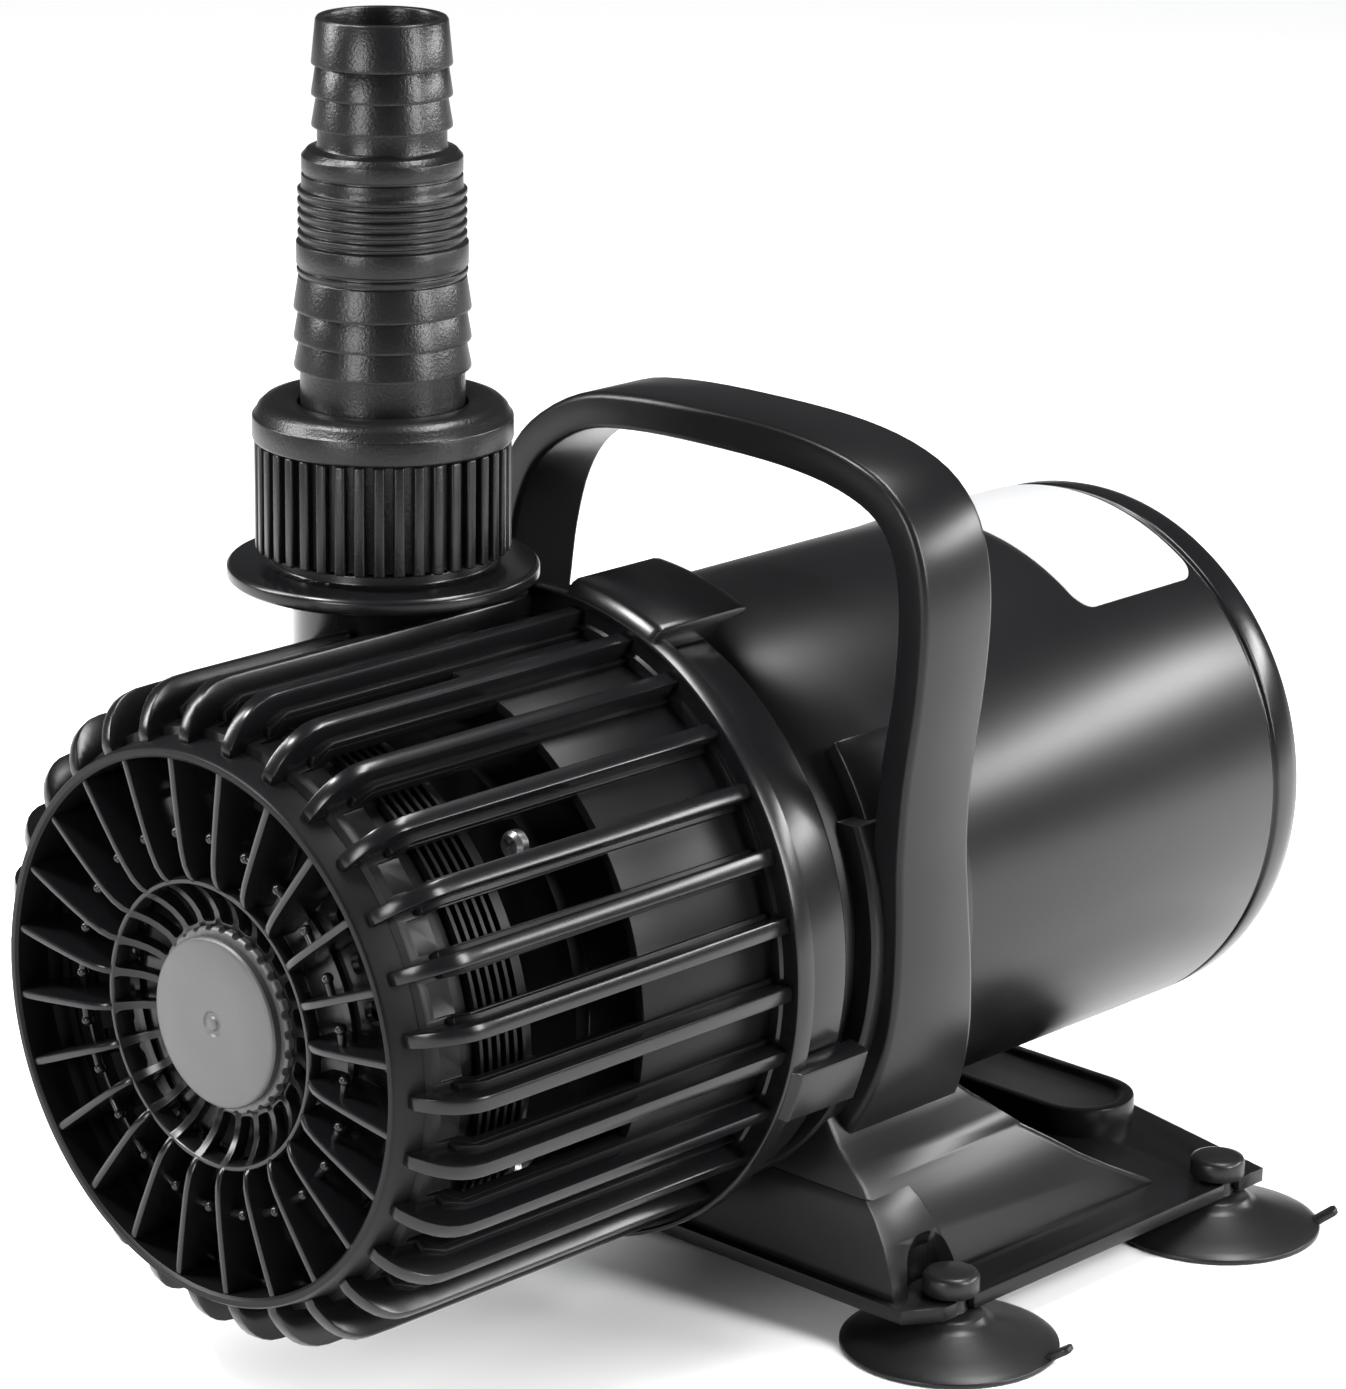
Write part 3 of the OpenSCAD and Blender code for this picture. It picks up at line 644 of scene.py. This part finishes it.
peg_length, peg_radius = 4.0, 0.8
peg_foot = at(0, 4.0, 37)
peg_middle = peg_foot - Vector((peg_length / 2 * mm, 0, 0))
peg = rod(peg_middle, peg_radius, peg_length, along="X", vertices=12)
peg.name = "cage_pegs"
bpy.ops.mesh.primitive_uv_sphere_add(segments=12, ring_count=8, radius=peg_radius * 1.45 * mm,
                                     location=peg_foot - Vector((peg_length * mm, 0, 0)))
peg.select_set(True)
bpy.context.view_layer.objects.active = peg
bpy.ops.object.join()
finished(ringed(peg, blade_count, start=180 / blade_count), housing_plastic, "cage", edge=0)

bowl = turned(
    "bowl",
    [(28.7, 4.0), (28.3, 3.2), (27.6, 3.2), (26.8, 4.4), (25.4, 5.8), (23.4, 7.2), (21.0, 8.2),
     (16.2, 8.8), (16.2, 11.0), (21.4, 10.6), (24.4, 9.6), (26.8, 8.0), (28.6, 6.0)],
    steps=120, closed=True,
)
cell = drawn(
    "bowl_cell", "Z",
    [(19.0, 2, 16, 3.5), (21.0, 2, 16, 4.0), (24.0, 2, 16, 4.8), (27.3, 2, 16, 5.5)],
)
cut(bowl, ringed(rounded(cell, 0.8, segments=3), blade_count))
finished(bowl, housing_plastic, "cage", edge=0.3, sharp=50)
tie = turned(
    "blade_tie",
    [(43.6, 9.6), (45.2, 9.6), (45.2, 12.4), (43.6, 12.4)],
    steps=96, closed=True,
)
finished(tie, housing_plastic, "cage", edge=0.25)
inner = turned(
    "inner_screen",
    [(12.0, 12.8), (29.4, 12.8), (29.6, 11.8), (31.2, 11.8), (31.4, 13.0), (53.4, 13.4),
     (53.4, 15.0), (30.5, 14.8), (12.0, 14.6)],
    steps=96, closed=True,
)
bean = drawn(
    "bean", "Z",
    [(34.0, 10, 18, 3.4), (38.0, 10, 18, 5.2), (46.0, 10, 18, 7.2), (49.5, 10, 18, 7.0)],
)
cut(inner, ringed(rounded(bean, 1.2, segments=3), blade_count))
finished(inner, housing_plastic, "cage", edge=0)

disc_grey, place = started("disc_grey")
cloud = noise(place, 90.0, 4.0)
grain = noise(place, 1600.0, 2.0)
disc_shade = between(cloud, (0.034, 0.034, 0.035), (0.052, 0.052, 0.054))
surfaced(disc_grey, disc_shade, cloud * 0.12 + 0.36, grain + cloud * 0.5, 0.02)
disc = turned(
    "middle_disc",
    [(16.0, 8.2), (16.6, 6.6), (16.8, 5.3), (16.5, 4.8), (15.8, 4.6), (8.0, 4.4), (2.6, 4.4),
     (2.2, 4.7), (1.5, 4.7), (1.2, 4.2), (0.5, 4.1)],
    steps=128,
)
finished(disc, disc_grey, "cage", edge=0.12, sharp=40)
skirt = turned(
    "disc_skirt",
    [(15.6, 6.9), (17.9, 6.9), (18.3, 7.3), (18.3, 11.6), (15.6, 11.6)],
    steps=180, closed=True,
)
cut(skirt, ringed(rod(at(0, 9, 18.5), 1.0, 8, along="Y", vertices=20), 30))
finished(skirt, disc_grey, "cage", edge=0.12, sharp=40)


# Release tabs: a broad thumb tab on top of the cage's mouth ring, and a lug low on each side.
# They are moulded with the cage and snap over the pump collar.
def bent_tab(name, first, last, section):
    """A tab that follows the pump's roundness from one angle to another, counted from +X to +Z."""
    steps = 16
    axis = at(0, 0, 0)
    tab = outlined(name, [at(0, place, radius) for radius, place in section], 60)
    bpy.ops.transform.rotate(value=math.radians(first - 90), orient_axis="Y", center_override=axis)
    turn = math.radians((last - first) / steps)
    for _ in range(steps):
        bpy.ops.mesh.extrude_region_move(TRANSFORM_OT_translate={"value": (0, 0, 0)})
        bpy.ops.transform.rotate(value=turn, orient_axis="Y", center_override=axis)
    return closed_up(tab)


thumb = bent_tab(
    "thumb_tab", 67.0, 87.2,
    [(60.6, 95.8), (67.6, 95.2), (69.6, 96.6), (70.2, 98.2), (70.2, 119.6), (69.8, 121.6),
     (68.2, 121.6), (67.4, 116.2), (65.0, 115.6), (64.3, 113.4), (64.3, 99.4), (60.6, 99.4)],
)
finished(thumb, housing_plastic, "cage", edge=0.3, sharp=40)
for side, first in (("right", -23.6), ("left", 194.0)):
    lug = bent_tab(
        "side_lug_" + side, first, first + 9.6,
        [(60.6, 95.8), (67.6, 95.4), (69.4, 96.6), (69.5, 115.6), (68.8, 116.3), (64.3, 116.3),
         (64.3, 99.4), (60.6, 99.4)],
    )
    finished(lug, housing_plastic, "cage", edge=0.4, sharp=40)


# Stand: one moulding with a base plate, a flared skirt and saddle under the motor, and the
# carrying handle that grows up out of the saddle's flanks. The motor rests in the saddle.
stand_plastic = moulded(
    "stand_plastic", (0.003, 0.003, 0.0035), (0.006, 0.006, 0.0065),
    smooth=0.24, rough=0.36, grain=1300, depth=0.010, specular=0.2,
)


def eased(stations, steps):
    """More stations on a smooth curve through the given ones."""
    points = [stations[0]] + list(stations) + [stations[-1]]
    out = []
    for near in zip(points, points[1:], points[2:], points[3:]):
        for i in range(steps):
            t = i / steps
            out.append(tuple(
                0.5 * (2 * q + (r - p) * t + (2 * p - 5 * q + 4 * r - s) * t * t
                       + (3 * q - p - 3 * r + s) * t ** 3)
                for p, q, r, s in zip(*near)
            ))
    return out + [tuple(stations[-1])]


def strap(name, stations):
    """A band drawn out along a bent line in the upright plane across the pump.

    A station is (x, z, turn, front, rear, thickness): the line's place and its turn from upright
    towards -X in degrees, then the band's front and rear edge along the pump and its thickness.
    """
    places = [at(x, (front + rear) / 2, z) for x, z, turn, front, rear, thick in stations]
    sizes = [(thick * mm, (rear - front) * mm, 1) for x, z, turn, front, rear, thick in stations]
    return drawn_out(name, places, sizes, turns=[station[2] for station in stations])


seat_radius = 59.15


def seat_cut(piece):
    """Takes the motor's round seat out of a piece of the stand."""
    return cut(piece, rod(at(0, 180, 0), seat_radius, 200, along="Y", vertices=192))


line = eased(
    [(46.0, -44.0, -46, 125.5, 163, 10.0), (54.6, -32.0, -31, 124.6, 156, 9.6),
     (60.2, -20.0, -18, 124.2, 151, 9.0), (62.8, -7.0, -6, 124, 147.6, 8.6),
     (63.3, 6.0, 0, 124, 145.8, 8.2), (63.2, 20.0, -3, 124, 145.0, 7.8),
     (64.4, 36.0, -10, 124, 144.6, 7.6), (67.0, 54.0, -6, 124, 144.5, 7.6),
     (67.9, 70.0, 4, 124, 144.5, 7.6), (65.8, 82.0, 18, 124, 144.5, 7.6),
     (60.0, 90.2, 52, 124, 144.5, 7.6), (49.0, 95.0, 72, 124, 144.5, 7.6),
     (33.0, 97.3, 86, 124, 144.5, 7.6), (11.0, 97.7, 91, 124, 144.5, 7.6),
     (-8.0, 97.0, 94, 124, 144.5, 7.6), (-22.0, 94.6, 106, 124, 144.5, 7.6),
     (-34.2, 87.4, 132, 124, 144.5, 7.6), (-41.0, 78.0, 152, 124, 144.5, 7.6),
     (-45.0, 65.0, 168, 124, 144.5, 7.6), (-47.2, 50.0, 178, 124, 144.5, 7.6),
     (-50.4, 36.0, 158, 124, 145, 7.8), (-57.5, 22.0, 156, 124, 145.4, 8.0),
     (-62.0, 9.0, 170, 124, 145.8, 8.2), (-63.2, -6.0, 183, 124, 147.6, 8.6),
     (-60.2, -20.0, 198, 124.2, 151, 9.0), (-54.6, -32.0, 211, 124.6, 156, 9.6),
     (-46.0, -44.0, 226, 125.5, 163, 10.0)],
    4,
)
handle = seat_cut(rounded(strap("stand_handle", line), 1.4, segments=3, sharp=45))
finished(handle, stand_plastic, "pump", edge=0, smooth=40)
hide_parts("stand")

pedestal = drawn(
    "stand_skirt", "Z",
    [(-71.6, 121.3, 209.5, 138.4), (-69.6, 121.3, 206, 137.8), (-64.5, 121.3, 196, 135.8),
     (-58.8, 121.3, 186, 133.4), (-53.5, 121.3, 178, 128.8), (-49.4, 121.3, 171.6, 124.2),
     (-45.7, 121.3, 167, 117.6), (-42.6, 121.3, 164, 111.0), (-39.0, 121.3, 160, 106.0),
     (-30.0, 121.3, 152, 96.0)],
)
finished(seat_cut(rounded(pedestal, 1.4, sharp=60)), stand_plastic, "pump", edge=0, smooth=40)
cup_box = drawn(
    "stand_cup_box", "Z",
    [(-71.6, 121.1, 142, 142.6), (-66, 121.1, 140, 140.4), (-60, 121.1, 138, 136.2),
     (-55, 121.1, 136, 131.2), (-51.4, 121.1, 134, 126.4)],
)
rounded(cup_box, 0.4, sharp=50)
saddle = turned(
    "stand_saddle",
    [(58, 120.6), (63.2, 120.6), (63.9, 121.4), (63.9, 150.6), (63.0, 151.4), (58, 151.4)],
    steps=180, closed=True,
)
upper_half = block(at(0, 136, 76), 160, 60, 100)
finished(seat_cut(cut(saddle, upper_half)), stand_plastic, "pump", edge=0.3, smooth=40)
for side, first, last in (("right", -24.0, 40.0), ("left", 140.0, 204.0)):
    ear = bent_tab(
        "saddle_ear_" + side, first, last,
        [(59.2, 125.4), (62.3, 125.6), (62.8, 126.4), (62.8, 144.6), (62.2, 145.4), (59.2, 145.6)],
    )
    finished(ear, stand_plastic, "pump", edge=0.4, sharp=40)


cup_places = {
    "front_right": (76, 133),
    "front_left": (-76, 133),
    "rear_right": (76, 220),
    "rear_left": (-76, 220),
}
plate = slab(
    "stand_plate",
    [(-75, 119), (75, 119), (80, 126), (80, 231), (14, 245), (-14, 245), (-80, 231), (-80, 126)],
    -71, 3,
)
for x, y in cup_places.values():
    cut(plate, rod(at(x, y, -70), 3.6, 20))
    outwards = 10 if x > 0 else -10
    slot_middle = at(x + outwards, y, -70)
    cut(plate, stretched(rod(slot_middle, 3.35, 20), 3.0, 1, 1, slot_middle))
    for outer in (pedestal, cup_box):
        cut(outer, turned(
            "cup_recess",
            [(9.0, -71.1), (9.0, -63.5), (8.2, -60.6), (6.4, -58.6), (3.5, -57.4), (0.4, -57.1)],
            upright=at(x, y, 0), steps=48,
        ))
finished(cup_box, stand_plastic, "pump", edge=0, smooth=40)
finished(plate, stand_plastic, "pump", edge=0.5)

pad = slab("stand_pad", arc(34, 225, 12, -90, 90, 10) + arc(-34, 225, 12, 90, 270, 10), -64.6, 7)
# The pad's top is sunk a little inside a narrow rim.
picked(pad)
bpy.ops.object.mode_set(mode="EDIT")
bpy.ops.mesh.select_all(action="DESELECT")
bpy.ops.object.mode_set(mode="OBJECT")
for face in pad.data.polygons:
    face.select = face.normal.z > 0.9
bpy.ops.object.mode_set(mode="EDIT")
bpy.ops.mesh.inset(thickness=2.6 * mm, depth=0)
bpy.ops.mesh.inset(thickness=0.8 * mm, depth=-1.1 * mm)
bpy.ops.object.mode_set(mode="OBJECT")
finished(pad, stand_plastic, "pump", edge=0.5)


# Suction cups: four soft rubber cups whose buttons push into the slots at the plate's corners.
# Each has a domed skirt with a thin glossy edge and a small tab to lift it off.
cup_rubber = moulded(
    "cup_rubber", (0.005, 0.005, 0.0055), (0.010, 0.010, 0.0105),
    smooth=0.26, rough=0.44, grain=900, depth=0.02,
)
pull_turns = {"front_right": 20, "front_left": 160, "rear_right": 43, "rear_left": 137}
for name, (x, y) in cup_places.items():
    pull = slab(
        "cup_pull_" + name,
        [(x + 20.4, y - 1.8), (x + 26.0, y - 1.8), (x + 26.8, y - 1.0), (x + 26.8, y + 1.0),
         (x + 26.0, y + 1.8), (x + 20.4, y + 1.8)],
        -80.3, 1.4,
    )
    bpy.ops.object.mode_set(mode="EDIT")
    bpy.ops.mesh.select_all(action="SELECT")
    lift, swing = math.radians(32), math.radians(-pull_turns[name])
    bpy.ops.transform.rotate(value=lift, orient_axis="Y", center_override=at(x + 21, y, -81))
    bpy.ops.transform.rotate(value=swing, orient_axis="Z", center_override=at(x, y, -81))
    bpy.ops.object.mode_set(mode="OBJECT")
    finished(pull, cup_rubber, "foot_" + name, edge=0.4)
    cup = turned(
        "suction_cup_" + name,
        [(0.6, -78.4), (9.0, -78.8), (16.0, -80.2), (20.6, -81.7), (22.2, -81.9), (22.3, -81.5),
         (22.2, -80.9), (20.2, -80.0), (16.6, -78.9), (12.6, -77.6), (9.4, -76.5), (7.6, -75.8),
         (7.2, -75.0), (6.2, -74.5), (3.2, -74.4), (3.0, -70.9), (3.3, -70.6), (5.5, -70.5),
         (5.8, -70.0), (5.8, -67.0), (5.4, -66.3), (4.4, -66.0), (0.6, -65.9)],
        upright=at(x, y, 0), steps=72,
    )
    finished(cup, cup_rubber, "foot_" + name, edge=0.2, sharp=45, smooth=45)
    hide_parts("cup_" + name)


# Pump chamber's inner parts: the screwed cover with its inlet, the impeller and the magnet on
# the ceramic shaft, and the bushes and seals they run in and close against.
def painted(material, *names):
    """Gives CAD parts a finish."""
    for name in names:
        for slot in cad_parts[name].material_slots:
            slot.material = material


rotor_plastic = moulded(
    "rotor_plastic", (0.016, 0.016, 0.017), (0.028, 0.028, 0.030),
    smooth=0.34, rough=0.50, grain=1200, depth=0.02,
)
seal_rubber = moulded(
    "seal_rubber", (0.010, 0.010, 0.010), (0.020, 0.020, 0.020),
    smooth=0.50, rough=0.66, grain=700, depth=0.03,
)
painted(housing_plastic, "chamber_cover")
painted(rotor_plastic, "impeller", "rotor_can", "front_bush", "rear_bush")
painted(seal_rubber, "cover_oring", "cap_oring", "gland_seal", "adapter_gasket")


def metal(name, dark, light, smooth, rough, metallic=1.0, stretch=(1, 1, 1), scale=400, depth=0.02):
    """Metal or a hard fired part, with its grain stretched the way it was worked."""
    material, place = started(name)
    worked = noise(place.node("Mapping", {}, {"Vector": place, "Scale": stretch}), scale, 4.0)
    cloud = noise(place, 40.0)
    gloss = smooth + (worked * 0.6 + cloud * 0.4) * (rough - smooth)
    return surfaced(material, between(worked, dark, light), gloss, worked, depth, metallic=metallic)


painted(metal(
    "screw_steel", (0.42, 0.42, 0.43), (0.62, 0.62, 0.63),
    smooth=0.22, rough=0.42,
), "cover_screws")
painted(metal(
    "ferrite_magnet", (0.030, 0.030, 0.032), (0.055, 0.055, 0.058),
    smooth=0.40, rough=0.60, metallic=0.2,
), "rotor_magnet")
painted(metal(
    "shaft_ceramic", (0.66, 0.64, 0.58), (0.78, 0.76, 0.71),
    smooth=0.16, rough=0.30, metallic=0.0, depth=0.005,
), "shaft")


# Motor's inside: a laminated steel stator with enamelled copper coils, potted in resin round
# the closed rotor can.
painted(metal(
    "stator_steel", (0.16, 0.16, 0.17), (0.42, 0.42, 0.43),
    smooth=0.34, rough=0.58, stretch=(0.02, 1.0, 0.02), scale=2400, depth=0.06,
), "stator_core")
painted(metal(
    "enamelled_copper", (0.34, 0.11, 0.035), (0.62, 0.25, 0.09),
    smooth=0.20, rough=0.38, stretch=(0.1, 0.1, 1.0), scale=1500, depth=0.08,
), "stator_coils")
painted(moulded(
    "potting_resin", (0.020, 0.016, 0.012), (0.045, 0.036, 0.028),
    smooth=0.22, rough=0.40, grain=200, depth=0.05, coat=0.3,
), "potting")
